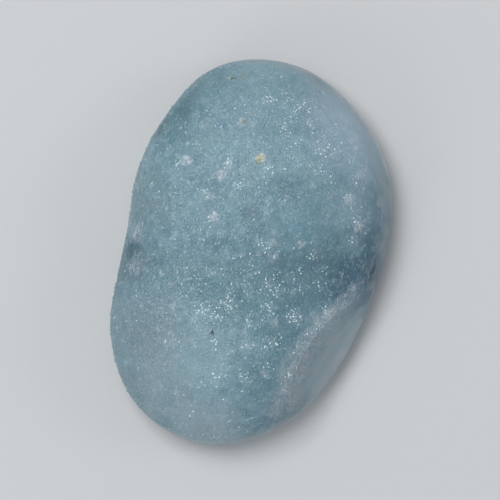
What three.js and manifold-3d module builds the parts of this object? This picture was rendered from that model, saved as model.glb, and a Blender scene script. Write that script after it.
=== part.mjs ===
// A druse of hemimorphite: one loose piece of a blue botryoidal crust, sawn flat behind, its sides
// ground to an oval by a gem cutter and its upper face left as it grew, set with small blades.
// Millimetres, +Z up. The flat back lies on z = 0 with the origin at its middle, +X runs along the
// stone towards its broader lobe, and +Y points to the side with the natural notch.
import * as THREE from 'three';
import { mergeVertices } from 'three/addons/utils/BufferGeometryUtils.js';
import Module from 'manifold-3d';

// The plan of the stone: its radius at equal steps of angle, counter-clockwise from +X.
const outlineRadii = [
  8.40, 8.23, 6.96, 6.00, 5.41, 5.80, 7.08, 8.24,
  8.49, 7.63, 6.52, 5.79, 5.70, 6.19, 7.04, 7.78,
];
const girdleHeight = 1.3; // where the stone is widest
const crownRise = 3.95; // from the girdle to the top, before the lobes are added
const baseDepth = 3.2; // how far the underside would curve down, had it not been sawn off

// How square the shoulder is: full on the notched side, sloping away on the other.
const shoulderExponent = 2.6;
const shoulderChange = 0.5;
const fullSide = THREE.MathUtils.degToRad(100);

// The lobes of the crust, and the hollows between them: place, reach and rise of each.
const lumps = [
  { x: 3.7, y: 0.7, reach: 3.5, rise: 0.55 }, // broad lobe
  { x: -4.2, y: 0.6, reach: 3.1, rise: 0.52 }, // lesser lobe
  { x: -1.1, y: 4.5, reach: 1.2, rise: -0.60 }, // the valley, from the notch across to the far side
  { x: -1.3, y: 2.4, reach: 1.3, rise: -0.30 },
  { x: -1.3, y: 0.2, reach: 1.4, rise: -0.34 },
  { x: -0.7, y: -2.1, reach: 1.6, rise: -0.60 },
  { x: 0.1, y: -4.2, reach: 1.5, rise: -1.00 },
  { x: 5.2, y: 4.2, reach: 1.1, rise: -0.50 }, // hollow at the rim
  { x: 5.6, y: -1.6, reach: 1.3, rise: 0.16 }, // small swellings on the lobes
  { x: 2.0, y: 2.9, reach: 1.2, rise: 0.14 },
  { x: -3.0, y: 1.3, reach: 1.1, rise: 0.20 },
  { x: -6.0, y: -0.9, reach: 1.2, rise: 0.12 },
  { x: -2.3, y: -1.7, reach: 1.0, rise: 0.16 },
  { x: 1.7, y: -1.9, reach: 1.0, rise: 0.12 },
];
const rippleRise = 0.035; // slight unevenness of the crust between the swellings
const ripplePitch = 1.9;
const rimPower = 6; // how closely the lobes keep their height towards the rim, where they die out

// The cutter's facet, which takes a crescent off the sloping side.
const facetAzimuth = THREE.MathUtils.degToRad(253);
const facetSlope = THREE.MathUtils.degToRad(60);
const facetOffset = 5.77; // of the facet's plane from the origin, along its normal

// The crystals: blades with a chisel edge, standing side by side on the lobes.
const meshDetail = 13; // how finely the sphere under the stone is divided: one crystal a vertex
const bladeRise = 0.15;
const bladeSink = 0.07; // of the creases between the blades
const riseChange = 0.4; // how much the rise varies from blade to blade, as a share of it
const sinkChange = 0.5;
const edgeShare = 0.42; // half the chisel edge's length, as a share of the crystal's radius
const edgeTilt = 0.3; // how far one end of the edge may stand above the middle, as a share of the rise
const placeJitter = 0.30; // of each crystal's place, as a share of the mesh spacing
// The heights at which they begin above the ground sides, at equal steps of angle from +X.
const crustBottoms = [2.7, 1.0, 0.9, 0.9, 2.2, 2.6, 2.7, 3.1];
const crustFade = 0.8; // height over which they grow from nothing to their full rise
const bareGrowth = 0.04; // less than this is ground stone, with no blade

const stoneColour = 0x7a96a1;
const mergeGap = 1e-4; // vertices closer than this are one
const sawReach = 40; // size of the block that a cut takes away, well beyond the stone
const up = new THREE.Vector3(0, 0, 1);

// Repeatable random numbers from 0 to 1.
let seed = 20417;
function random() {
  seed = (seed + 0x6d2b79f5) | 0;
  let t = Math.imul(seed ^ (seed >>> 15), 1 | seed);
  t = (t + Math.imul(t ^ (t >>> 7), 61 | t)) ^ t;
  return ((t ^ (t >>> 14)) >>> 0) / 4294967296;
}

function spread(amount) {
  return (random() * 2 - 1) * amount;
}

// The value at an angle, on a smooth closed curve through values given at equal steps of angle.
function aroundRim(values, angle) {
  const count = values.length;
  const turn = angle / (2 * Math.PI);
  const place = (turn - Math.floor(turn)) * count;
  const index = Math.floor(place);
  const f = place - index;
  const [before, from, to, after] = [-1, 0, 1, 2].map(
    (step) => values[(index + step + count) % count],
  );
  const slope = to - before;
  const bend = 2 * before - 5 * from + 4 * to - after;
  const twist = 3 * from - before - 3 * to + after;
  return (2 * from + slope * f + bend * f ** 2 + twist * f ** 3) / 2;
}

// How far the lobes and hollows lift the crust at a point of the plan.
function lumpRise(x, y) {
  let rise = rippleRise * Math.sin(x * ripplePitch + Math.sin(y * ripplePitch)) * Math.sin(y * ripplePitch + x);
  for (const lump of lumps) {
    const distance = Math.hypot(x - lump.x, y - lump.y) / lump.reach;
    rise += lump.rise * Math.exp(-distance * distance);
  }
  return rise;
}

// The point of the stone's surface, without its crystals, in a direction from the middle of its girdle,
// and how fully crystals have grown there: 0 on the ground sides, 1 on the crust.
function bodyPoint(direction) {
  const flat = Math.hypot(direction.x, direction.y);
  const angle = Math.atan2(direction.y, direction.x);
  const radius = aroundRim(outlineRadii, angle);
  const depth = direction.z > 0 ? crownRise : baseDepth;
  const exponent = shoulderExponent + shoulderChange * Math.cos(angle - fullSide);
  const reach = ((flat / radius) ** exponent + (Math.abs(direction.z) / depth) ** exponent) ** (-1 / exponent);
  const point = direction.clone().multiplyScalar(reach);
  point.z += girdleHeight;
  const bottom = aroundRim(crustBottoms, angle);
  const growth = THREE.MathUtils.smoothstep(point.z, bottom, bottom + crustFade);
  if (direction.z > 0) {
    const share = (flat * reach) / radius;
    point.z += (1 - share ** rimPower) * lumpRise(point.x, point.y);
  }
  return { point, growth };
}

// The sphere's vertices as directions, shifted a little so that no two crystals are alike, and its faces.
function crystalLattice() {
  const sphere = new THREE.IcosahedronGeometry(1, meshDetail);
  sphere.deleteAttribute('normal');
  sphere.deleteAttribute('uv');
  const merged = mergeVertices(sphere, mergeGap);
  const position = merged.getAttribute('position');
  const spacing = Math.sqrt((4 * Math.PI) / position.count);
  // The sphere is drawn out to the stone's proportions, so that the spacing stays even all over it.
  const proportions = new THREE.Vector3(outlineRadii[0], outlineRadii[4], crownRise);
  const directions = [];
  for (let i = 0; i < position.count; i += 1) {
    const direction = new THREE.Vector3().fromBufferAttribute(position, i);
    const shift = new THREE.Vector3(spread(1), spread(1), spread(1)).multiplyScalar(placeJitter * spacing);
    directions.push(direction.add(shift).multiply(proportions).normalize());
  }
  const faces = [];
  for (let i = 0; i < merged.index.count; i += 3) {
    faces.push([0, 1, 2].map((corner) => merged.index.getX(i + corner)));
  }
  return { directions, faces };
}

// For each vertex, the faces around it in order, counter-clockwise seen from outside.
function ringsOfFaces(vertexCount, faces) {
  const following = Array.from({ length: vertexCount }, () => new Map());
  faces.forEach((face, index) => {
    for (let corner = 0; corner < 3; corner += 1) {
      const next = face[(corner + 1) % 3];
      const last = face[(corner + 2) % 3];
      following[face[corner]].set(next, { last, index });
    }
  });
  return following.map((steps) => {
    const ring = [];
    const first = steps.keys().next().value;
    let neighbour = first;
    do {
      const step = steps.get(neighbour);
      ring.push(step.index);
      neighbour = step.last;
    } while (neighbour !== first);
    return ring;
  });
}

// One crystal: its outline's corners are shared with its neighbours, and a chisel edge stands over them.
function addCrystal(vertices, triangles, corners, { point: centre, growth }) {
  const outline = corners.map((corner) => vertices[corner]);
  const middle = new THREE.Vector3();
  outline.forEach((corner) => middle.addScaledVector(corner, 1 / outline.length));
  const normal = new THREE.Vector3();
  outline.forEach((corner, i) => {
    const next = outline[(i + 1) % outline.length];
    normal.add(corner.clone().sub(middle).cross(next.clone().sub(middle)));
  });
  normal.normalize();
  const apex = vertices.length;
  if (growth < bareGrowth) {
    vertices.push(centre);
    corners.forEach((corner, i) => {
      triangles.push(apex, corner, corners[(i + 1) % corners.length]);
    });
    return;
  }
  const radius = Math.min(...outline.map((corner) => corner.distanceTo(middle)));
  const along = new THREE.Vector3(spread(1), spread(1), spread(1)).cross(normal).normalize();
  const rise = growth * bladeRise * (1 + spread(riseChange));
  const tip = centre.clone().addScaledVector(normal, rise);
  const lean = spread(edgeTilt) * rise;
  for (const side of [-1, 1]) {
    vertices.push(tip.clone().addScaledVector(along, side * edgeShare * radius).addScaledVector(normal, side * lean));
  }
  // Each corner belongs to the nearer end of the edge; where the end changes, a second triangle fills in.
  const ends = outline.map((corner) => (corner.clone().sub(middle).dot(along) > 0 ? apex + 1 : apex));
  corners.forEach((corner, i) => {
    const next = (i + 1) % corners.length;
    triangles.push(ends[i], corner, corners[next]);
    if (ends[next] !== ends[i]) {
      triangles.push(ends[i], corners[next], ends[next]);
    }
  });
}

// The whole stone before it was cut, crystals and all, as one closed surface.
function grownStone() {
  const { directions, faces } = crystalLattice();
  const vertices = faces.map((face) => {
    const direction = new THREE.Vector3();
    face.forEach((corner) => direction.add(directions[corner]));
    const { point, growth } = bodyPoint(direction.normalize());
    return point.addScaledVector(direction, -bladeSink * growth * (1 + spread(sinkChange)));
  });
  const triangles = [];
  ringsOfFaces(directions.length, faces).forEach((corners, i) => {
    addCrystal(vertices, triangles, corners, bodyPoint(directions[i]));
  });
  const geometry = new THREE.BufferGeometry().setFromPoints(vertices);
  geometry.setIndex(triangles);
  return geometry;
}

// What the saw and the grinding wheel took away: everything on the far side of a plane.
function wasteBeyond(normal, offset) {
  const waste = new THREE.BoxGeometry(sawReach, sawReach, sawReach);
  waste.translate(0, 0, sawReach / 2 + offset);
  waste.applyQuaternion(new THREE.Quaternion().setFromUnitVectors(up, normal));
  return waste;
}

const wasm = await Module();
wasm.setup();

function solidOf(geometry) {
  const bare = new THREE.BufferGeometry();
  bare.setAttribute('position', geometry.getAttribute('position'));
  bare.setIndex(geometry.index);
  const merged = mergeVertices(bare, mergeGap);
  return new wasm.Manifold(new wasm.Mesh({
    numProp: 3,
    vertProperties: new Float32Array(merged.getAttribute('position').array),
    triVerts: new Uint32Array(merged.index.array),
  }));
}

function geometryOf(solid) {
  const mesh = solid.getMesh();
  const geometry = new THREE.BufferGeometry();
  geometry.setAttribute('position', new THREE.BufferAttribute(new Float32Array(mesh.vertProperties), 3));
  geometry.setIndex(new THREE.BufferAttribute(new Uint32Array(mesh.triVerts), 1));
  return geometry;
}

// The finished stone: sawn flat underneath, with the facet ground on its sloping side.
function cutStone() {
  const facetNormal = new THREE.Vector3(
    Math.sin(facetSlope) * Math.cos(facetAzimuth),
    Math.sin(facetSlope) * Math.sin(facetAzimuth),
    Math.cos(facetSlope),
  );
  const solid = solidOf(grownStone())
    .subtract(solidOf(wasteBeyond(up.clone().negate(), 0)))
    .subtract(solidOf(wasteBeyond(facetNormal, facetOffset)));
  const geometry = geometryOf(solid);
  geometry.computeBoundingBox();
  const middle = geometry.boundingBox.getCenter(new THREE.Vector3());
  return geometry.translate(-middle.x, -middle.y, 0);
}

const stoneMaterial = new THREE.MeshStandardMaterial({ color: stoneColour, roughness: 0.35, metalness: 0 });
const stone = new THREE.Mesh(cutStone(), stoneMaterial);
stone.name = 'hemimorphite_druse';

const druse = new THREE.Group();
druse.add(stone);
export default druse;
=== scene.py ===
import math

import bmesh
import bpy
import numpy as np
from mathutils import Matrix, Vector
from mathutils.kdtree import KDTree


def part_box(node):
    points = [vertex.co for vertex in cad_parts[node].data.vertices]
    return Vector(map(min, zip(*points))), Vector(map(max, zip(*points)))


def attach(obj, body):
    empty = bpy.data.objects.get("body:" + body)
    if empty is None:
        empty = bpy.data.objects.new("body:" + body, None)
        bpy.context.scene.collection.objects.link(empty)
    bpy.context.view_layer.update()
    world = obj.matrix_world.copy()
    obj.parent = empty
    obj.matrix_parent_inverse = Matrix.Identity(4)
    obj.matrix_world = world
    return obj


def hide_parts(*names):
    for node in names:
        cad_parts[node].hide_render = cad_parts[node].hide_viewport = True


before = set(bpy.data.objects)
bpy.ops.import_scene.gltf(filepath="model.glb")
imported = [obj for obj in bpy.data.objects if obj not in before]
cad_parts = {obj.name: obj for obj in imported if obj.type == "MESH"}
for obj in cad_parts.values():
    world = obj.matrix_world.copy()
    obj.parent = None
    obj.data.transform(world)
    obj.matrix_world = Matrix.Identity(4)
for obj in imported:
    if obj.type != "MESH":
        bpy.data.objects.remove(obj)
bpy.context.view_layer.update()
stoneLow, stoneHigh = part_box("hemimorphite_druse")
mm = 0.001
print("frame loaded")

# Lengths are in millimetres, colours are linear. +X runs along the stone towards its broad lobe,
# +Y points to the notched side, and the sawn back lies on z = 0.
druse = {
    # plan radius at equal steps of angle, counter-clockwise from +X
    "outlineRadii": [8.40, 8.23, 6.96, 6.00, 5.41, 5.80, 7.08, 8.24,
                     8.49, 7.63, 6.52, 5.79, 5.70, 6.19, 7.04, 7.78],
    "girdleHeight": 1.3,  # where the stone is widest
    "crownRise": 3.95,
    "baseDepth": 3.2,  # how far the underside would curve down, had it not been sawn off
    "shoulderExponent": 2.6,  # how square the shoulder is
    "shoulderChange": 0.5,  # fuller on the notched side, sloping away on the other
    "fullSide": math.radians(100),
    "lumps": [
        # x, y, reach, rise
        (3.7, 0.7, 3.5, 0.55),  # broad lobe
        (-4.2, 0.6, 3.1, 0.52),  # lesser lobe
        (-1.1, 4.5, 1.2, -0.60),  # the valley, from the notch across to the far side
        (-1.3, 2.4, 1.3, -0.30),
        (-1.3, 0.2, 1.4, -0.34),
        (-0.7, -2.1, 1.6, -0.60),
        (0.1, -4.2, 1.5, -1.00),
        (5.2, 4.2, 1.1, -0.50),  # hollow at the rim
        (5.6, -1.6, 1.3, 0.16),  # small swellings on the lobes
        (2.0, 2.9, 1.2, 0.14),
        (-3.0, 1.3, 1.1, 0.20),
        (-6.0, -0.9, 1.2, 0.12),
        (-2.3, -1.7, 1.0, 0.16),
        (1.7, -1.9, 1.0, 0.12),
    ],
    "rippleRise": 0.035,  # slight unevenness between the swellings
    "ripplePitch": 1.9,
    "rimPower": 6,  # how closely the lobes keep their height towards the rim
    # heights at which the crystals begin above the ground sides, at equal steps of angle from +X
    "crustBottoms": [2.7, 1.0, 0.9, 0.9, 2.2, 2.6, 2.7, 3.1],
    "crustFade": 0.8,  # height over which the crystals grow to their full size
    "facetAzimuth": math.radians(253),  # the cutter's facet, on the sloping side
    "facetSlope": math.radians(60),
    "facetOffset": 5.77,
    "facetGrid": 0.1,  # of the points on the facet, and on the back
    "backGrid": 0.3,
    "wasteReach": 12.0,  # half the width of the blocks that are cut away, and their height
    "wasteHeight": 30.0,
    "cutCloseness": 0.9999,  # how exactly a face looks the cut's way to belong to the cut
    "traceRise": 0.032,  # of the crystals' traces on the facet, beside the crust
    "traceSpan": (0.30, 1.10),  # where they fade, by the distance from the facet's edge
    "planeCloseness": 0.0001,  # how near the facet's plane a point must be to lie on it

    "seed": 11,
    "placesTried": 150000,  # those too near another are dropped
    "spacing": 0.078,  # of the crystals
    "groundSpacing": 0.32,  # of the points that shape the smooth sides
    "buriedSpacing": 0.9,  # of the points well below the saw cut
    "buriedHeight": -0.3,
    "bareGrowth": 0.04,  # less than this is ground stone, with no crystal
    "fineGrowth": 0.2,  # from here on the crystals stand at their full closeness
    "leastTone": 0.02,  # crystals have a random tone from here to 1, and ground stone has 0
    "creaseSink": 0.013,
    "creaseChange": 0.6,
    "ridgeRise": 0.28,  # of the chisel edge, as a share of the crystal's radius
    "ridgeChange": 0.5,
    "ridgeShare": 0.42,  # half the chisel edge, as a share of the radius
    "ridgeTilt": 0.4,
    "bladeShare": 0.09,  # of the crystals that stand out as blades with upright walls
    "bladeLength": 0.66,  # half a blade's length and thickness, as shares of the radius
    "bladeThickness": 0.40,
    "bladeWall": 0.48,  # height of its walls, as a share of the radius
    "bladeSlant": 0.7,  # most that its end rises or falls, as a share of its walls
    "bladeFacing": 0.4,  # least that its end faces outward

    # Sheaves are patches in which the crystals share one direction and size.
    "sheafCount": 560,
    "sheafStray": 0.22,  # how far a crystal's direction strays from its sheaf's
    "sheafTilt": 0.45,  # how far the blades' slanting ends face away from upright
    "sheafSizeChange": 0.30,
    # Patches in which many glints show together, all facing one way: x, y, reach, strength.
    "glitterWay": (0.095, 0.146, 0.985),
    "glitterShare": 0.85,  # of the cells that glint in the middle of a patch of strength 1
    "glitterLeast": 0.6,  # of a patch's strength, on the crystal that takes least part
    "glitterPatches": [
        (-2.22, -2.45, 0.34, 1.30), (-2.74, 1.35, 0.38, 1.15), (-2.30, 0.36, 0.36, 1.00),
        (-2.04, -1.32, 0.32, 1.00), (-1.35, -1.47, 0.30, 0.80), (0.54, -2.69, 0.28, 0.80),
        (-5.28, -1.07, 0.30, 0.85), (5.09, -1.99, 0.30, 0.85), (-3.60, -1.73, 0.30, 0.75),
        (-1.23, 2.35, 0.32, 0.60), (0.34, -0.51, 0.35, 0.55), (4.18, 0.64, 0.25, 0.50),
        (2.66, 1.16, 0.30, 0.55), (-0.89, -2.54, 0.28, 0.60), (-1.60, -3.79, 0.30, 0.60),
        (-6.03, 0.85, 0.32, 0.60), (6.62, 0.63, 0.32, 0.60), (-4.16, 0.50, 0.32, 0.55),
        (6.52, -0.65, 0.32, 0.55), (-0.64, -1.91, 0.28, 0.60), (5.53, -0.31, 0.32, 0.55),
        (6.99, -0.20, 0.30, 0.60), (3.28, 3.57, 0.22, 0.60), (2.25, -4.25, 0.25, 0.50),
        (-5.50, 0.24, 0.30, 0.50), (-4.63, -1.83, 0.30, 0.50), (-4.36, 2.50, 0.30, 0.45),
        (-0.72, -0.23, 0.30, 0.45), (1.57, -4.11, 0.30, 0.50), (-0.58, 0.85, 0.30, 0.42),
        (3.52, 0.09, 0.30, 0.45), (-3.80, -0.68, 0.25, 0.55), (1.96, 2.48, 0.30, 0.42),
        (-2.33, -3.65, 0.28, 0.50), (-0.53, -3.33, 0.30, 0.42), (-2.93, -3.31, 0.30, 0.42),
        (-2.90, 0.85, 0.34, 0.95), (-3.10, -2.05, 0.30, 0.60), (-6.00, 1.10, 0.30, 0.60),
        (3.57, 1.76, 0.24, 0.90), (3.24, -3.59, 0.20, 0.60), (-1.10, -1.10, 0.25, 0.60),
        (-4.71, -2.81, 0.17, 1.00), (-5.35, -2.83, 0.17, 1.00), (-1.75, 0.45, 0.25, 0.60),
        (3.05, 3.78, 0.12, 1.00), (1.20, 1.80, 0.15, 0.90), (-6.10, -0.50, 1.60, 0.05),
        (-1.70, -0.30, 2.10, 0.05), (-0.40, -1.60, 1.50, 0.05), (4.40, -1.10, 2.30, 0.05),
    ],

    "deepBlue": (0.140, 0.260, 0.318),
    "paleBlue": (0.203, 0.343, 0.406),
    # A pattern of noise is given by its scale and detail, by the range of the noise that counts, and by
    # what it gives at either end of that range.
    "blues": (0.55, 4.0, 0.35, 0.65, 0.0, 1.0),
    "mottle": (2.2, 5.0, 0.0, 1.0, -1.2, 1.2),  # finer mottling on top
    "colourWobble": 1.8,  # how ragged the colour patches' edges are
    "wobbleScale": 0.9,
    "wobbleDetail": 3.0,
    "colourPatches": [
        # x, y, reach of the core, fade, colour, strength
        # These six run darker along the valley, from the notch to the far rim: partly the stone's deeper
        # teal, partly painted shade in the valley. The last two, on the far rim, are mostly painted shade.
        (-1.6, 5.0, 0.5, 1.3, (0.09, 0.17, 0.21), 0.70),  # the valley's floor
        (-1.7, 2.6, 0.3, 1.6, (0.14, 0.26, 0.31), 0.60),
        (-1.8, -0.1, 0.5, 1.7, (0.12, 0.25, 0.30), 0.75),
        (-0.3, -2.8, 0.6, 1.8, (0.10, 0.21, 0.27), 0.78),
        (0.1, -5.0, 0.8, 1.5, (0.04, 0.12, 0.18), 0.88),
        (0.3, -5.8, 0.5, 1.0, (0.01, 0.06, 0.10), 0.90),
        (-2.9, -2.2, 0.5, 1.6, (0.10, 0.22, 0.28), 0.75),
        # These two darken the far rim with painted shade.
        (2.2, -5.5, 0.6, 1.3, (0.06, 0.14, 0.19), 0.80),
        (3.6, -5.4, 0.6, 1.2, (0.03, 0.13, 0.19), 0.85),
        (5.3, -4.6, 0.3, 0.9, (0.16, 0.25, 0.31), 0.50),
        (-6.4, -3.2, 0.4, 1.0, (0.10, 0.19, 0.24), 0.80),
        (-4.6, -2.2, 0.2, 1.3, (0.13, 0.26, 0.31), 0.50),
        # painted shade in the hollow at the rim
        (5.1, 4.2, 0.3, 1.6, (0.10, 0.22, 0.27), 0.60),  # hollow at the rim
        (-4.2, 3.6, 0.6, 2.0, (0.20, 0.28, 0.32), 0.70),  # greyer shoulders
        (-6.3, 2.4, 0.6, 1.8, (0.27, 0.36, 0.40), 0.60),
        (-6.7, 3.7, 0.3, 1.0, (0.16, 0.25, 0.29), 0.50),
        (-8.0, 0.2, 0.8, 1.4, (0.34, 0.43, 0.48), 0.60),
        (1.3, 2.8, 0.4, 1.2, (0.27, 0.42, 0.48), 0.50),
        (1.3, 4.8, 0.4, 1.5, (0.19, 0.28, 0.32), 0.55),
        (7.0, 1.2, 0.8, 2.2, (0.27, 0.41, 0.48), 0.45),  # paler top
        (6.9, 3.8, 0.3, 1.0, (0.12, 0.24, 0.29), 0.50),
        (7.0, -1.7, 0.3, 1.3, (0.33, 0.43, 0.50), 0.50),
        (5.9, -2.9, 0.5, 2.2, (0.36, 0.48, 0.59), 0.65),  # paler, lilac end
        (3.4, -4.0, 0.3, 1.7, (0.25, 0.36, 0.44), 0.60),
        (1.6, -1.9, 0.3, 1.5, (0.19, 0.36, 0.43), 0.45),
        (3.9, 1.4, 0.4, 2.2, (0.28, 0.43, 0.50), 0.45),  # tops of the lobes
        (4.7, 3.2, 0.2, 0.9, (0.29, 0.43, 0.49), 0.45),
        (4.5, -1.5, 0.3, 1.1, (0.29, 0.44, 0.51), 0.50),
        (-4.5, 0.8, 0.6, 1.6, (0.33, 0.47, 0.53), 0.50),
    ],
    "speckWobble": 0.35,
    "speckWobbleScale": 6.0,
    # Spots on the crust, painted shade and milky ones: x, y, reach, strength.
    "spotCore": 0.3,  # as a share of the reach
    "shadePatches": [
        (-0.95, 5.00, 0.55, 0.80), (-1.05, 5.45, 0.50, 0.90),  # deep in the notch
        (4.45, 4.95, 0.60, 0.75), (5.40, 4.30, 0.60, 0.40), (6.20, 4.00, 0.50, 0.35),
        (-2.90, 5.30, 0.60, 0.40),
    ],
    # colour of the painted shade in the notch and the rim's hollow
    "paintedShade": (0.05, 0.13, 0.16),
    "milk": (0.52, 0.56, 0.62),
    "frost": (0.44, 0.56, 0.615),  # of the palest single crystals
    "frostShare": (0.70, 1.0, 0.0, 0.22),
    "flecks": (3.4, 2.0, 0.58, 0.74, 0.0, 0.40),
    "paintedGlintHaze": 0.20,  # painted highlight: how much paler the crystals are made where glints cluster, for the haze of their light
    "milkChange": (0.15, 1.25),  # how milky the least and the most milky crystals of a patch are
    "milkPatches": [
        (4.15, 0.52, 0.30, 0.50), (5.35, 1.70, 0.20, 0.40),  # round the specks of ochre
        (3.28, 3.57, 0.28, 1.20), (3.03, 2.03, 0.22, 1.00), (1.23, 1.88, 0.22, 1.20),
        (0.66, -0.74, 0.22, 0.75), (0.10, -0.90, 0.26, 0.35), (0.90, -1.99, 0.24, 0.90),
        (3.24, -3.59, 0.28, 0.90), (5.90, -3.30, 0.40, 0.45), (2.20, -4.22, 0.26, 0.80),
        (3.57, 1.80, 0.18, 0.80), (-0.18, 4.97, 0.45, 0.50), (-1.62, 4.72, 0.45, 0.42),
        (-0.10, 1.10, 0.16, 0.35), (-4.80, -1.80, 0.28, 0.40), (6.70, -2.60, 0.40, 0.35),
        (4.60, -3.90, 0.40, 0.35), (6.17, -2.71, 0.14, 0.55), (5.76, -3.05, 0.16, 0.65),
        (5.47, -3.36, 0.18, 0.65), (4.45, -4.45, 0.14, 0.55), (5.03, -4.00, 0.14, 0.45),
        (4.30, -3.70, 0.16, 0.50), (2.00, 2.50, 0.20, 0.35), (-2.55, -1.60, 0.20, 0.45),
        (-0.42, -4.57, 0.20, 0.50), (-1.90, -3.30, 0.30, 0.20), (-3.40, -3.10, 0.35, 0.30),
        (-1.65, -3.76, 0.16, 0.80), (-1.42, -3.97, 0.15, 0.50), (-3.13, -3.35, 0.18, 0.40),
    ],
    "specks": [
        # x, y, reach, strength, colour
        (4.10, 0.54, 0.120, 0.75, (0.54, 0.56, 0.47)),  # cream and ochre
        (4.06, 0.60, 0.055, 0.95, (0.66, 0.54, 0.28)),
        (3.90, 0.60, 0.090, 0.70, (0.27, 0.33, 0.22)),
        (4.20, 0.66, 0.030, 0.80, (0.32, 0.24, 0.11)),
        (5.50, 1.68, 0.070, 0.80, (0.50, 0.54, 0.54)),
        (5.47, 1.58, 0.060, 0.80, (0.22, 0.23, 0.17)),
        (7.20, 2.47, 0.110, 0.55, (0.21, 0.28, 0.20)),  # olive
        (7.14, 2.46, 0.050, 1.00, (0.02, 0.04, 0.02)),
        (7.34, 2.00, 0.130, 0.55, (0.25, 0.33, 0.25)),
        # the pit is not modelled as a hole: its near black is painted shade
        (-3.62, 0.90, 0.060, 0.90, (0.02, 0.02, 0.05)),  # a pit
    ],
    # Layers of the stone that show on its cuts and ground sides, by depth under the crust.
    "bands": [
        (0.00, (0.320, 0.390, 0.440)), (0.45, (0.280, 0.365, 0.425)), (0.80, (0.245, 0.340, 0.405)),
        (1.15, (0.240, 0.335, 0.400)), (1.50, (0.280, 0.375, 0.435)), (1.80, (0.245, 0.345, 0.405)),
        (2.30, (0.290, 0.380, 0.435)), (2.90, (0.250, 0.350, 0.410)), (3.70, (0.325, 0.400, 0.440)),
        (4.50, (0.255, 0.350, 0.400)), (5.20, (0.210, 0.310, 0.365)), (6.00, (0.340, 0.400, 0.425)),
    ],
    "layerReach": 0.72,  # the layers run level outside this share of the plan radius
    "bandShift": (0.9, 4.0, 0.0, 1.0, -0.45, 0.45),  # unevenness of the layers, in millimetres
    "bandStrengths": (0.85, 0.25),  # on the cuts, and on the ground sides
    "cloud": (0.350, 0.378, 0.390),
    "clouds": (1.5, 5.0, 0.42, 0.66, 0.0, 0.50),
    "edgeBand": (0.285, 0.355, 0.400),  # pale stone along the facet's upper edge, carried onto the facet as painted light where it lies in more shade
    "edgeBandHeights": (2.5, 3.6),
    "edgeBandSpan": (-0.80, -0.40, 0.05, 0.65),  # across the edge, where it rises and where it fades
    "edgeShift": (1.6, 5.0, 0.0, 1.0, -0.45, 0.45),
    "edgeBreaks": (2.6, 4.0, 0.35, 0.60, 0.12, 0.62),
    "edgeSpeckle": (0.5, 1.0, 0.0, 0.62),
    "crustEnd": (0.10, 0.75),  # how far past the edge the facet is still as rough as the crust
    # A painted highlight: a pale line round the widest part, where light catches the edge and shines through
    # it. Its heights, and its strength at equal steps of angle from +X.
    "rim": (0.56, 0.59, 0.61),
    "rimLightHeights": (0.8, 1.2, 1.7, 2.5),
    "rimLightBreaks": (1.8, 3.0, 0.35, 0.60, 0.55, 1.0),
    "rimLightStrengths": [0.3, 0.0, 0.0, 0.0, 0.0, 0.1, 0.1, 0.2, 0.3, 0.0, 0.1, 0.7],
    # The finest facets, too small to model, tilt the surface about.
    "microSize": 0.048,
    "microTilt": 0.15,
    "microShine": (0.35, 0.85),  # share of them that is dull, and where the brightest begin
    "glintPitch": 0.105,  # of the cells that may each hold one glint
    "glintSize": (0.33, 0.44),  # from the middle of a cell to the glint's edge, as shares of the pitch
    "glintStart": (0.98, 0.995),  # random numbers from which a cell glints at all, and fully
    "glitterOrder": 0.70,  # how much less the glints are tilted about than the other facets
    "ior": 1.62,
    "glowScale": 0.00055,  # how far light spreads inside, in metres
    "glowRadius": (0.60, 0.88, 1.0),
    "shinyGloss": 0.27,  # roughness of the shiniest facets, of the glints, and of the crystals
    "glitterGloss": 0.24,
    "crystalGloss": (0.40, 0.55),
    "groundGloss": (3.0, 3.0, 0.3, 0.7, 0.32, 0.48),
    "marks": (2.0, 4.0, 0.0, 1.0, 0.0, 1.0),
    "markStretch": (0.6, 9.0, 3.0),
    "markStrength": 0.25,
    "markDepth": 0.02,
}


def smoothStep(value, low, high):
    t = np.clip((value - low) / (high - low), 0, 1)
    return t * t * (3 - 2 * t)


# A value at an angle, on a smooth closed curve through values at equal steps of angle.
def aroundRim(values, angle):
    values = np.array(values)
    count = len(values)
    place = (angle / (2 * math.pi)) % 1.0 * count
    index = np.floor(place).astype(int)
    f = place - index
    before, start, end, after = (values[(index + step) % count] for step in (-1, 0, 1, 2))
    slope = end - before
    bend = 2 * before - 5 * start + 4 * end - after
    twist = 3 * start - before - 3 * end + after
    return (2 * start + slope * f + bend * f ** 2 + twist * f ** 3) / 2


def lumpRise(x, y):
    pitch = druse["ripplePitch"]
    rise = druse["rippleRise"] * np.sin(x * pitch + np.sin(y * pitch)) * np.sin(y * pitch + x)
    for lumpX, lumpY, reach, lift in druse["lumps"]:
        rise = rise + lift * np.exp(-((x - lumpX) ** 2 + (y - lumpY) ** 2) / reach ** 2)
    return rise


# Points of the surface, without crystals, in directions from the middle of the girdle, and how
# fully crystals have grown there: 0 on the ground sides, 1 on the crust.
def bodyPoints(directions):
    flat = np.hypot(directions[:, 0], directions[:, 1])
    angle = np.arctan2(directions[:, 1], directions[:, 0])
    radius = aroundRim(druse["outlineRadii"], angle)
    upper = directions[:, 2] > 0
    depth = np.where(upper, druse["crownRise"], druse["baseDepth"])
    exponent = druse["shoulderExponent"] + druse["shoulderChange"] * np.cos(angle - druse["fullSide"])
    reach = ((flat / radius) ** exponent + (np.abs(directions[:, 2]) / depth) ** exponent) ** (-1 / exponent)
    points = directions * reach[:, None]
    points[:, 2] += druse["girdleHeight"]
    bottom = aroundRim(druse["crustBottoms"], angle)
    growth = smoothStep(points[:, 2], bottom, bottom + druse["crustFade"])
    share = flat * reach / radius
    lift = (1 - share ** druse["rimPower"]) * lumpRise(points[:, 0], points[:, 1])
    points[:, 2] += np.where(upper, lift, 0)
    return points, growth


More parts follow.
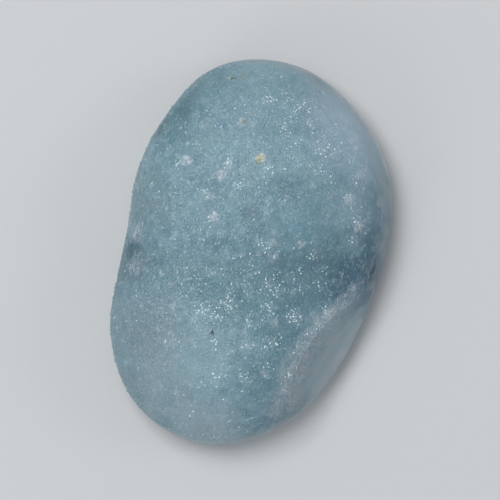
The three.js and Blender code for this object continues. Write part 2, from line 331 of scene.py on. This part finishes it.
# The same surface by plan: the crust's height above the back, and its growth there.
def crownHeight(x, y):
    angle = np.arctan2(y, x)
    exponent = druse["shoulderExponent"] + druse["shoulderChange"] * np.cos(angle - druse["fullSide"])
    share = np.clip(np.hypot(x, y) / aroundRim(druse["outlineRadii"], angle), 0, 1)
    bare = druse["girdleHeight"] + druse["crownRise"] * (1 - share ** exponent) ** (1 / exponent)
    bottom = aroundRim(druse["crustBottoms"], angle)
    growth = smoothStep(bare, bottom, bottom + druse["crustFade"])
    return bare + (1 - share ** druse["rimPower"]) * lumpRise(x, y), growth


def treeOf(points):
    tree = KDTree(len(points))
    for i, point in enumerate(points):
        tree.insert(point, i)
    tree.balance()
    return tree


def unit(vectors):
    return vectors / np.linalg.norm(vectors, axis=-1, keepdims=True)


# Directions of a round sphere drawn out to the stone's proportions, so that spacing stays even.
def stretched(ways):
    return unit(ways * (druse["outlineRadii"][0], druse["outlineRadii"][4], druse["crownRise"]))


# The sheaves: where each one's middle is, the way its blades run, the way their ends face, and how
# large its crystals are.
def growSheaves(random, places, growths):
    count = druse["sheafCount"]
    middles = places[np.flatnonzero(growths > druse["bareGrowth"])[:count]]
    runs = random.normal(size=(count, 3))
    faces = unit(random.normal(size=(count, 3)) * druse["sheafTilt"] + (0, 0, 1))
    sizes = 1 + random.uniform(-1, 1, count) * druse["sheafSizeChange"]
    return {"tree": treeOf(middles), "runs": runs, "faces": faces, "sizes": sizes}


# Directions towards evenly scattered places of the surface: close together on the crust, where each
# becomes a crystal, and further apart on the ground sides.
def scatterPlaces(random):
    ways = unit(random.normal(size=(druse["placesTried"], 3)))
    places, growths = bodyPoints(stretched(ways))
    sheaves = growSheaves(random, places, growths)
    ground, fine = druse["groundSpacing"], druse["spacing"]
    gap = ground + (fine - ground) * smoothStep(growths, 0, druse["fineGrowth"])
    gap = np.where(places[:, 2] < druse["buriedHeight"], druse["buriedSpacing"], gap)
    tree = treeOf(places)
    dropped = np.zeros(len(ways), bool)
    kept = []
    for i, place in enumerate(places):
        if dropped[i]:
            continue
        kept.append(i)
        size = sheaves["sizes"][sheaves["tree"].find(place)[1]] if growths[i] > druse["bareGrowth"] else 1
        for _, near, _ in tree.find_range(place, gap[i] * size):
            dropped[near] = True
    return ways[kept], sheaves


# The triangles that join neighbouring points of a sphere.
def joinNeighbours(ways):
    ball = bmesh.new()
    for way in ways:
        ball.verts.new(way)
    bmesh.ops.convex_hull(ball, input=ball.verts)
    unused = [v for v in ball.verts if not v.link_faces]
    bmesh.ops.delete(ball, geom=unused, context="VERTS")
    ball.verts.index_update()
    points = np.array([v.co for v in ball.verts])
    triangles = np.array([[v.index for v in f.verts] for f in ball.faces])
    ball.free()
    return points, triangles


# For each point, the triangles around it in order, counter-clockwise seen from outside.
def ringsAround(pointCount, triangles):
    following = [{} for _ in range(pointCount)]
    for index, (a, b, c) in enumerate(triangles.tolist()):
        following[a][b] = (c, index)
        following[b][c] = (a, index)
        following[c][a] = (b, index)
    rings = []
    for steps in following:
        neighbour = first = next(iter(steps))
        ring = []
        while True:
            neighbour, index = steps[neighbour]
            ring.append(index)
            if neighbour == first:
                break
        rings.append(ring)
    return rings


# Faces from an outer ring of vertices to an inner one; wards says which inner vertex each outer one faces.
def stitchRings(outer, inner, wards):
    faces = []
    for k, here in enumerate(outer):
        n = (k + 1) % len(outer)
        ward = wards[k]
        faces.append((here, outer[n], inner[ward]))
        while ward != wards[n]:
            following = (ward + 1) % len(inner)
            faces.append((outer[n], inner[following], inner[ward]))
            ward = following
    return faces


# A low crystal: its outline runs up to a chisel edge.
def chisel(random, ring, spokes, middle, normal, along, radius, growth, first):
    rise = radius * growth * druse["ridgeRise"] * (1 + random.uniform(-1, 1) * druse["ridgeChange"])
    tilt = random.uniform(-1, 1) * druse["ridgeTilt"] * rise
    edge = along * druse["ridgeShare"] * radius + normal * tilt
    tip = middle + normal * rise
    faces = stitchRings(ring, (first, first + 1), (spokes @ along > 0).astype(int).tolist())
    return [tip - edge, tip + edge], faces


# A blade: upright walls under one slanting end, which faces the way given.
def blade(random, ring, spokes, middle, normal, along, radius, growth, first, facing):
    across = np.cross(normal, along)
    wall = radius * growth * druse["bladeWall"] * (1 + random.uniform(-1, 1) * druse["ridgeChange"])
    length = along * radius * druse["bladeLength"]
    thickness = across * radius * druse["bladeThickness"]
    offsets = np.array([a * length + b * thickness for a, b in ((1, 1), (-1, 1), (-1, -1), (1, -1))])
    most = druse["bladeSlant"] * wall
    slant = np.clip(-(offsets @ facing) / max(normal @ facing, druse["bladeFacing"]), -most, most)
    corners = middle + offsets + (wall + slant)[:, None] * normal
    box = (first, first + 1, first + 2, first + 3)
    left, up = spokes @ along < 0, spokes @ across > 0
    wards = np.where(up, np.where(left, 1, 0), np.where(left, 2, 3)).tolist()
    return list(corners), stitchRings(ring, box, wards) + [box]


def druseMesh():
    random = np.random.default_rng(druse["seed"])
    ways, sheaves = scatterPlaces(random)
    ways, triangles = joinNeighbours(ways)
    middles, growths = bodyPoints(stretched(ways))
    cornerWays = stretched(ways[triangles].sum(axis=1))
    corners, cornerGrowths = bodyPoints(cornerWays)
    change = 1 + random.uniform(-1, 1, len(corners)) * druse["creaseChange"]
    sinks = druse["creaseSink"] * cornerGrowths * change
    corners -= cornerWays * sinks[:, None]
    patches = np.array(druse["glitterPatches"])

    vertices = list(corners)
    faces, tones, glitters = [], [], []
    for i, ring in enumerate(ringsAround(len(ways), triangles)):
        growth = growths[i]
        first = len(vertices)
        glitter, tone = 0.0, 0.0
        if growth < druse["bareGrowth"]:
            vertices.append(middles[i])
            new = [(first, ring[k - 1], ring[k]) for k in range(len(ring))]
        else:
            outline = corners[ring]
            middle = outline.mean(axis=0)
            spokes = outline - middle
            normal = unit(np.cross(spokes, np.roll(spokes, -1, axis=0)).sum(axis=0))
            radius = np.linalg.norm(spokes, axis=1).min()
            sheaf = sheaves["tree"].find(middles[i])[1]
            run = sheaves["runs"][sheaf] + random.normal(size=3) * druse["sheafStray"]
            along = unit(np.cross(run, normal))
            away = np.hypot(patches[:, 0] - middle[0], patches[:, 1] - middle[1]) / patches[:, 2]
            glitter = (patches[:, 3] * np.exp(-away ** 4)).max() * random.uniform(druse["glitterLeast"], 1)
            tone = random.uniform(druse["leastTone"], 1)
            grown = (random, ring, spokes, middle, normal, along, radius, growth, first)
            if random.random() < druse["bladeShare"]:
                facing = unit(sheaves["faces"][sheaf] + random.normal(size=3) * druse["sheafStray"])
                new, faced = blade(*grown, facing)
            else:
                new, faced = chisel(*grown)
            vertices += new
            new = faced
        faces += new
        tones += [tone] * len(new)
        glitters += [glitter] * len(new)
    mesh = bpy.data.meshes.new("druse")
    mesh.from_pydata([tuple(v) for v in vertices], [], faces)
    mesh.update()
    addLayer(mesh, "tone", "FACE", tones)
    addLayer(mesh, "glitter", "FACE", glitters)
    return mesh


def addLayer(mesh, name, domain, values):
    mesh.attributes.new(name, "FLOAT", domain).data.foreach_set("value", values)


def readValues(collection, name, width):
    values = np.empty(len(collection) * width)
    collection.foreach_get(name, values)
    return values.reshape(-1, width)


# A block of waste beyond a plane, its near face divided finely so that the cut keeps a grid.
def wasteBlock(name, normal, offset, step):
    reach, height = druse["wasteReach"], druse["wasteHeight"]
    squares = int(2 * reach / step)
    block = bmesh.new()
    bmesh.ops.create_grid(block, x_segments=squares, y_segments=squares, size=reach)
    bmesh.ops.reverse_faces(block, faces=block.faces)
    rim = [e for e in block.edges if e.is_boundary]
    extruded = bmesh.ops.extrude_edge_only(block, edges=rim)["geom"]
    lifted = [g for g in extruded if isinstance(g, bmesh.types.BMVert)]
    bmesh.ops.translate(block, verts=lifted, vec=(0, 0, height))
    bmesh.ops.contextual_create(block, geom=[e for e in block.edges if e.is_boundary])
    bmesh.ops.translate(block, verts=block.verts, vec=(0, 0, offset))
    turn = Vector((0, 0, 1)).rotation_difference(normal)
    bmesh.ops.rotate(block, verts=block.verts, cent=(0, 0, 0), matrix=turn.to_matrix())
    mesh = bpy.data.meshes.new(name)
    block.to_mesh(mesh)
    block.free()
    obj = bpy.data.objects.new(name, mesh)
    bpy.context.scene.collection.objects.link(obj)
    return obj


def cut(obj, waste):
    step = obj.modifiers.new("cut", "BOOLEAN")
    step.operation = "DIFFERENCE"
    step.solver = "MANIFOLD"
    step.object = waste
    bpy.context.view_layer.update()
    shape = obj.evaluated_get(bpy.context.evaluated_depsgraph_get())
    mesh = bpy.data.meshes.new_from_object(shape)
    obj.modifiers.clear()
    obj.data = mesh
    bpy.data.objects.remove(waste)


def facetNormal():
    slope, azimuth = druse["facetSlope"], druse["facetAzimuth"]
    return Vector((math.sin(slope) * math.cos(azimuth), math.sin(slope) * math.sin(azimuth), math.cos(slope)))


# For each point of the cut stone: its depth in the stone's layers, how strongly it has the rim's painted
# highlight, a pale line, how fully crystals have grown there, whether it lies high up, and how far the whole
# crust would rise over the facet's plane: negative on the crust that is left, positive on the facet.
def markPoints(mesh):
    points = readValues(mesh.vertices, "co", 3)
    x, y, z = points.T
    angle = np.arctan2(y, x)
    height, growth = crownHeight(x, y)
    bottom = aroundRim(druse["crustBottoms"], angle)
    under = z < druse["girdleHeight"]
    growth = np.where(under, smoothStep(z, bottom, bottom + druse["crustFade"]), growth)
    share = np.hypot(x, y) / aroundRim(druse["outlineRadii"], angle)
    inward = np.minimum(1, druse["layerReach"] / share.clip(druse["layerReach"] / 2))
    layerTop, _ = crownHeight(x * inward, y * inward)
    addLayer(mesh, "depth", "POINT", np.clip(layerTop - z, 0, None))
    # the rim's painted highlight
    low, start, end, high = druse["rimLightHeights"]
    rim = smoothStep(z, low, start) * (1 - smoothStep(z, end, high)) * (1 - growth)
    addLayer(mesh, "rim", "POINT", np.clip(rim * aroundRim(druse["rimLightStrengths"], angle), 0, 1))
    addLayer(mesh, "growth", "POINT", growth)
    addLayer(mesh, "upper", "POINT", smoothStep(z, *druse["edgeBandHeights"]))
    normal = facetNormal()
    plane = (druse["facetOffset"] - x * normal.x - y * normal.y) / normal.z
    addLayer(mesh, "across", "POINT", height - plane)


# Crystals and cuts have flat faces; the ground sides are round.
def markFaces(mesh):
    tones = readValues(mesh.attributes["tone"].data, "value", 1)[:, 0]
    normals = readValues(mesh.polygons, "normal", 3)
    close = druse["cutCloseness"]
    isCut = (normals @ np.array(facetNormal()) > close) | (normals[:, 2] < -close)
    mesh.polygons.foreach_set("use_smooth", (tones == 0) & ~isCut)
    addLayer(mesh, "ground", "FACE", np.where(tones == 0, 1.0, 0.0))
    addLayer(mesh, "cutFace", "FACE", np.where(isCut, 1.0, 0.0))


# Beside the crust the wheel has only just reached the stone, and traces of crystals are left on the facet.
def leaveTraces(mesh):
    random = np.random.default_rng(druse["seed"])
    points = readValues(mesh.vertices, "co", 3)
    normal = np.array(facetNormal())
    across = readValues(mesh.attributes["across"].data, "value", 1)[:, 0]
    upper = readValues(mesh.attributes["upper"].data, "value", 1)[:, 0]
    onFacet = np.abs(points @ normal - druse["facetOffset"]) < druse["planeCloseness"]
    fade = (1 - smoothStep(across, *druse["traceSpan"])) * upper * onFacet
    points += normal * (random.uniform(-1, 1, len(points)) * druse["traceRise"] * fade)[:, None]
    mesh.vertices.foreach_set("co", points.ravel())
    mesh.update()


def buildStone():
    stone = bpy.data.objects.new("druse_stone", druseMesh())
    bpy.context.scene.collection.objects.link(stone)
    print("crystals grown:", len(stone.data.polygons), "faces")
    cut(stone, wasteBlock("saw", Vector((0, 0, -1)), 0.0, druse["backGrid"]))
    cut(stone, wasteBlock("wheel", facetNormal(), druse["facetOffset"], druse["facetGrid"]))
    markPoints(stone.data)
    markFaces(stone.data)
    leaveTraces(stone.data)
    points = readValues(stone.data.vertices, "co", 3)
    low, high = points.min(axis=0), points.max(axis=0)
    middle = (low + high) / 2
    target = (stoneLow + stoneHigh) / 2 / mm
    space = np.array(stoneHigh - stoneLow) / mm
    fit = min(1.0, (space / (high - low)).min())  # so that no tip stands out of the solid's box
    stone.data.transform(Matrix.Translation((-middle[0], -middle[1], 0)))
    stone.data.transform(Matrix.Scale(fit, 4))
    stone.data.transform(Matrix.Translation((target.x, target.y, 0)))
    stone.data.transform(Matrix.Scale(mm, 4))
    stone.data.update()
    stone.data.materials.clear()
    stone.data.materials.append(stoneMaterial())
    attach(stone, "root")
    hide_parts("hemimorphite_druse")
    print("stone cut:", len(stone.data.polygons), "faces")


def newNode(tree, kind, **settings):
    node = tree.nodes.new(kind)
    for name, value in settings.items():
        setattr(node, name, value)
    return node


def plug(tree, socket, value):
    if isinstance(value, bpy.types.NodeSocket):
        tree.links.new(value, socket)
    else:
        socket.default_value = value


def mixColours(tree, factor, first, second):
    mix = newNode(tree, "ShaderNodeMix", data_type="RGBA")
    plug(tree, mix.inputs[0], factor)
    plug(tree, mix.inputs[6], first if isinstance(first, bpy.types.NodeSocket) else (*first, 1))
    plug(tree, mix.inputs[7], second if isinstance(second, bpy.types.NodeSocket) else (*second, 1))
    return mix.outputs[2]


def mixVectors(tree, factor, first, second):
    mix = newNode(tree, "ShaderNodeMix", data_type="VECTOR")
    plug(tree, mix.inputs[0], factor)
    plug(tree, mix.inputs[4], first)
    plug(tree, mix.inputs[5], second)
    return mix.outputs[1]


def mathNode(tree, operation, first, second=0.0):
    node = newNode(tree, "ShaderNodeMath", operation=operation)
    plug(tree, node.inputs[0], first)
    plug(tree, node.inputs[1], second)
    return node.outputs[0]


def vectorMath(tree, operation, first, second):
    node = newNode(tree, "ShaderNodeVectorMath", operation=operation)
    plug(tree, node.inputs[0], first)
    plug(tree, node.inputs[1], second)
    return node.outputs["Value" if operation == "DISTANCE" else "Vector"]


def scaled(tree, vector, amount):
    node = newNode(tree, "ShaderNodeVectorMath", operation="SCALE")
    plug(tree, node.inputs[0], vector)
    plug(tree, node.inputs["Scale"], amount)
    return node.outputs["Vector"]


def noise(tree, place, scale, detail, output="Fac"):
    node = newNode(tree, "ShaderNodeTexNoise")
    node.inputs["Scale"].default_value = scale
    node.inputs["Detail"].default_value = detail
    plug(tree, node.inputs["Vector"], place)
    return node.outputs[output]


def mapRange(tree, value, fromLow, fromHigh, toLow, toHigh, curve="LINEAR"):
    node = newNode(tree, "ShaderNodeMapRange", interpolation_type=curve)
    for name, number in zip(("From Min", "From Max", "To Min", "To Max"), (fromLow, fromHigh, toLow, toHigh)):
        plug(tree, node.inputs[name], number)
    plug(tree, node.inputs["Value"], value)
    return node.outputs["Result"]


def pattern(tree, place, name):
    scale, detail, low, high, least, most = druse[name]
    return mapRange(tree, noise(tree, place, scale, detail), low, high, least, most)


# A place shifted about by noise, so that whatever is drawn from it has ragged edges.
def wobbled(tree, place, scale, amount):
    waves = noise(tree, place, scale, druse["wobbleDetail"], "Color")
    centred = vectorMath(tree, "SUBTRACT", waves, (0.5, 0.5, 0.5))
    return vectorMath(tree, "ADD", place, vectorMath(tree, "MULTIPLY", centred, (amount, amount, amount)))


def attribute(tree, name):
    return newNode(tree, "ShaderNodeAttribute", attribute_name=name).outputs["Fac"]


# A round spot on the crust, 1 in its core and fading to 0 over the width given.
def spot(tree, place, x, y, core, fade, strength):
    z = float(crownHeight(np.array([x]), np.array([y]))[0][0])
    distance = vectorMath(tree, "DISTANCE", place, (x, y, z))
    return mapRange(tree, distance, core, core + fade, strength, 0, "SMOOTHSTEP")


def bandColours(tree, depth):
    ramp = newNode(tree, "ShaderNodeValToRGB")
    deepest = druse["bands"][-1][0]
    elements = ramp.color_ramp.elements
    for index, (band, colour) in enumerate(druse["bands"]):
        element = elements[index] if index < 2 else elements.new(band / deepest)
        element.position = band / deepest
        element.color = (*colour, 1)
    plug(tree, ramp.inputs["Fac"], mathNode(tree, "DIVIDE", depth, deepest))
    return ramp.outputs["Color"]


# The stone's colour. Tone and glitter are the crystal's own, across is the height of the whole crust
# over the facet's plane, and chance is the micro facet's random number.
def stoneColour(tree, place, tone, glitter, ground, across, chance):
    wide = wobbled(tree, place, druse["wobbleScale"], druse["colourWobble"])
    plan = vectorMath(tree, "MULTIPLY", wide, (1, 1, 0))
    fine = wobbled(tree, place, druse["speckWobbleScale"], druse["speckWobble"])
    blues = mathNode(tree, "ADD", pattern(tree, place, "blues"), pattern(tree, place, "mottle"))
    colour = mixColours(tree, blues, druse["deepBlue"], druse["paleBlue"])
    for x, y, core, fade, patch, strength in druse["colourPatches"]:
        distance = vectorMath(tree, "DISTANCE", plan, (x, y, 0))
        factor = mapRange(tree, distance, core, core + fade, strength, 0, "SMOOTHSTEP")
        colour = mixColours(tree, factor, colour, patch)

    # banding on the cuts, cloudy stone on the ground sides
    layer = mathNode(tree, "ADD", attribute(tree, "depth"), pattern(tree, place, "bandShift"))
    banded = bandColours(tree, layer)
    onCuts = mapRange(tree, across, *druse["crustEnd"], 0, druse["bandStrengths"][0])
    onCuts = mathNode(tree, "MULTIPLY", attribute(tree, "cutFace"), onCuts)
    onSides = mathNode(tree, "MULTIPLY", ground, druse["bandStrengths"][1])
    colour = mixColours(tree, mathNode(tree, "MAXIMUM", onCuts, onSides), colour, banded)
    clouds = mathNode(tree, "MULTIPLY", pattern(tree, place, "clouds"), ground)
    colour = mixColours(tree, clouds, colour, druse["cloud"])
    # the rim's painted highlight, a pale line round the widest part
    rim = mathNode(tree, "MULTIPLY", attribute(tree, "rim"), pattern(tree, place, "rimLightBreaks"))
    colour = mixColours(tree, rim, colour, druse["rim"])

    # the facet's pale upper edge, and the crust beside it: partly the stone's own pale band, partly painted
    # light that lifts the facet's shade beside the edge
    start, full, waning, end = druse["edgeBandSpan"]
    rising = mapRange(tree, across, start, full, 0, 1, "SMOOTHSTEP")
    falling = mapRange(tree, across, waning, end, 1, 0, "SMOOTHSTEP")
    band = mathNode(tree, "MULTIPLY", mathNode(tree, "MULTIPLY", rising, falling), attribute(tree, "upper"))
    patchy = mathNode(tree, "MULTIPLY", band, pattern(tree, place, "edgeBreaks"))
    colour = mixColours(tree, patchy, colour, druse["edgeBand"])
    speckled = mathNode(tree, "MULTIPLY", mapRange(tree, chance, *druse["edgeSpeckle"]), band)
    colour = mixColours(tree, speckled, colour, druse["milk"])

    whiteness = mapRange(tree, tone, 0, 1, *druse["milkChange"])
    core = druse["spotCore"]
    # painted shade deep in the notch and in the hollow at the rim
    for x, y, reach, strength in druse["shadePatches"]:
        factor = spot(tree, fine, x, y, core * reach, reach, strength)
        colour = mixColours(tree, factor, colour, druse["paintedShade"])
    for x, y, reach, strength in druse["milkPatches"]:
        factor = mathNode(tree, "MULTIPLY", spot(tree, fine, x, y, core * reach, reach, strength), whiteness)
        colour = mixColours(tree, factor, colour, druse["milk"])
    onCrust = mathNode(tree, "SUBTRACT", 1.0, ground)
    flecks = mathNode(tree, "MULTIPLY", pattern(tree, place, "flecks"), onCrust)
    # painted highlight: paler where glints cluster, for the haze of their light; the flecks are the stone's
    # own
    paintedHaze = mathNode(tree, "MULTIPLY", glitter, druse["paintedGlintHaze"])
    colour = mixColours(tree, mathNode(tree, "MAXIMUM", flecks, paintedHaze), colour, druse["frost"])
    colour = mixColours(tree, mapRange(tree, tone, *druse["frostShare"]), colour, druse["frost"])
    for x, y, reach, strength, speck in druse["specks"]:
        colour = mixColours(tree, spot(tree, fine, x, y, reach, reach, strength), colour, speck)
    return colour


# Cells of a size, each with a random colour and a random number of its own, and the distance from the
# middle of the cell as a share of its size.
def cells(tree, place, size):
    node = newNode(tree, "ShaderNodeTexVoronoi")
    node.inputs["Scale"].default_value = 1 / size
    plug(tree, node.inputs["Vector"], place)
    split = newNode(tree, "ShaderNodeSeparateXYZ")
    plug(tree, split.inputs[0], node.outputs["Color"])
    return node.outputs["Color"], split.outputs["Z"], node.outputs["Distance"]


# Glints are dots scattered over the crystals, close together where they glitter.
def glintDots(tree, place, glitter, smoothness):
    _, chance, distance = cells(tree, place, druse["glintPitch"])
    reached = mathNode(tree, "ADD", chance, mathNode(tree, "MULTIPLY", glitter, druse["glitterShare"]))
    chosen = mapRange(tree, reached, *druse["glintStart"], 0, 1)
    dots = mathNode(tree, "MULTIPLY", chosen, mapRange(tree, distance, *druse["glintSize"], 1, 0))
    return mathNode(tree, "MULTIPLY", dots, mathNode(tree, "SUBTRACT", 1.0, smoothness))


# The finest facets: the surface's normal, tilted a random way within each, how shiny each one is, where
# they glint, and a random number of their own.
def microFacets(tree, place, glitter, smoothness):
    colour, chance, _ = cells(tree, place, druse["microSize"])
    glints = glintDots(tree, place, glitter, smoothness)
    normal = newNode(tree, "ShaderNodeNewGeometry").outputs["Normal"]
    ways = {"vector_type": "NORMAL", "convert_from": "OBJECT", "convert_to": "WORLD"}
    turned = newNode(tree, "ShaderNodeVectorTransform", **ways)
    turned.inputs[0].default_value = druse["glitterWay"]
    normal = mixVectors(tree, glints, normal, turned.outputs[0])
    tilt = vectorMath(tree, "SUBTRACT", colour, (0.5, 0.5, 0.5))
    order = mapRange(tree, glints, 0, 1, 1, 1 - druse["glitterOrder"])
    amount = mathNode(tree, "MULTIPLY", mapRange(tree, smoothness, 0, 1, 2 * druse["microTilt"], 0), order)
    tilted = vectorMath(tree, "ADD", normal, scaled(tree, tilt, amount))
    shine = mapRange(tree, chance, *druse["microShine"], 0, 1)
    return vectorMath(tree, "NORMALIZE", tilted, (0, 0, 0)), shine, glints, chance


def stoneMaterial():
    material = bpy.data.materials.new("hemimorphite")
    material.use_nodes = True
    tree = material.node_tree
    shader = tree.nodes["Principled BSDF"]
    coordinates = newNode(tree, "ShaderNodeTexCoord").outputs["Object"]
    place = vectorMath(tree, "MULTIPLY", coordinates, (1 / mm, 1 / mm, 1 / mm))
    names = ("tone", "glitter", "ground", "growth", "cutFace")
    tone, glitter, ground, growth, cutFace = (attribute(tree, name) for name in names)
    across = mathNode(tree, "ADD", attribute(tree, "across"), pattern(tree, place, "edgeShift"))
    rough = mapRange(tree, across, *druse["crustEnd"], 1, 0)
    rough = mathNode(tree, "MULTIPLY", rough, attribute(tree, "upper"))
    roughness = mathNode(tree, "MULTIPLY", growth, mapRange(tree, cutFace, 0, 1, 1, rough))
    smoothness = mathNode(tree, "SUBTRACT", 1.0, roughness)
    microNormal, shine, glints, chance = microFacets(tree, place, glitter, smoothness)
    plug(tree, shader.inputs["Base Color"], stoneColour(tree, place, tone, glitter, ground, across, chance))

    dull = mapRange(tree, tone, 0, 1, *druse["crystalGloss"])
    gloss = mapRange(tree, shine, 0, 1, dull, druse["shinyGloss"])
    gloss = mapRange(tree, glints, 0, 1, gloss, druse["glitterGloss"])
    gloss = mapRange(tree, smoothness, 0, 1, gloss, pattern(tree, place, "groundGloss"))
    plug(tree, shader.inputs["Roughness"], gloss)

    # faint saw and wheel marks on the ground faces
    marks = pattern(tree, vectorMath(tree, "MULTIPLY", place, druse["markStretch"]), "marks")
    bump = newNode(tree, "ShaderNodeBump")
    bump.inputs["Strength"].default_value = druse["markStrength"]
    bump.inputs["Distance"].default_value = druse["markDepth"] * mm
    plug(tree, bump.inputs["Height"], mathNode(tree, "MULTIPLY", marks, ground))
    plug(tree, bump.inputs["Normal"], microNormal)
    plug(tree, shader.inputs["Normal"], bump.outputs["Normal"])

    shader.inputs["IOR"].default_value = druse["ior"]
    shader.inputs["Subsurface Weight"].default_value = 1.0
    shader.inputs["Subsurface Radius"].default_value = druse["glowRadius"]
    shader.inputs["Subsurface Scale"].default_value = druse["glowScale"]
    return material


# The camera looks straight down, and the stone lies a little turned in the view.
camera = {
    "middle": (0.19, 0.11),  # what it looks at
    "turn": math.radians(13),
    "fieldWidth": 21.74,  # width of the view at the girdle
    "lens": 300.0,
    "sensor": 36.0,
    "clipStart": 0.01,  # in metres
}


def placeCamera():
    data = bpy.data.cameras.new("camera")
    data.lens = camera["lens"]
    data.sensor_width = camera["sensor"]
    data.clip_start = camera["clipStart"]
    eye = bpy.data.objects.new("camera", data)
    bpy.context.scene.collection.objects.link(eye)
    distance = camera["fieldWidth"] * camera["lens"] / camera["sensor"] + druse["girdleHeight"]
    eye.location = (camera["middle"][0] * mm, camera["middle"][1] * mm, distance * mm)
    eye.rotation_euler = (0, 0, camera["turn"] - math.pi / 2)
    bpy.context.scene.camera = eye


# Lights are in metres and watts.
softboxes = [
    # azimuth and height in degrees, distance, size, power, colour
    (57.0, 70.0, 0.30, 0.13, 0.52, (1.0, 0.99, 0.97)),  # key, from the upper left of the view
    (150.0, 35.0, 0.32, 0.14, 0.12, (0.93, 0.97, 1.0)),  # lower left
    (-70.0, 40.0, 0.32, 0.10, 0.08, (1.0, 0.98, 0.95)),  # fill
]
room = {"colour": (0.90, 0.95, 1.0), "strength": 0.395}


def placeLights():
    for index, (azimuth, height, distance, size, power, colour) in enumerate(softboxes):
        data = bpy.data.lights.new(f"softbox{index + 1}", "AREA")
        data.shape = "SQUARE"
        data.size = size
        data.energy = power
        data.color = colour
        light = bpy.data.objects.new(data.name, data)
        bpy.context.scene.collection.objects.link(light)
        a, h = math.radians(azimuth), math.radians(height)
        way = Vector((math.cos(h) * math.cos(a), math.cos(h) * math.sin(a), math.sin(h)))
        light.location = way * distance
        light.rotation_euler = way.to_track_quat("Z", "Y").to_euler()
    world = bpy.data.worlds.new("room")
    world.use_nodes = True
    background = world.node_tree.nodes["Background"]
    background.inputs["Color"].default_value = (*room["colour"], 1)
    background.inputs["Strength"].default_value = room["strength"]
    bpy.context.scene.world = world


# The floor lies a hair under the sawn back, so that the two never share a plane. Lengths are in metres.
floorSheet = {"size": 1.0, "gap": 0.00002, "colour": (0.60, 0.61, 0.62), "roughness": 0.8}


def placeFloor():
    sheet = bmesh.new()
    bmesh.ops.create_grid(sheet, x_segments=1, y_segments=1, size=floorSheet["size"] / 2)
    mesh = bpy.data.meshes.new("floor")
    sheet.to_mesh(mesh)
    sheet.free()
    floor = bpy.data.objects.new("floor", mesh)
    floor.location.z = stoneLow.z - floorSheet["gap"]
    bpy.context.scene.collection.objects.link(floor)
    material = bpy.data.materials.new("paleFloor")
    material.use_nodes = True
    shader = material.node_tree.nodes["Principled BSDF"]
    shader.inputs["Base Color"].default_value = (*floorSheet["colour"], 1)
    shader.inputs["Roughness"].default_value = floorSheet["roughness"]
    mesh.materials.append(material)


placeCamera()
placeLights()
placeFloor()
bpy.context.scene.view_settings.view_transform = "Standard"
print("camera, lights and floor placed")
buildStone()
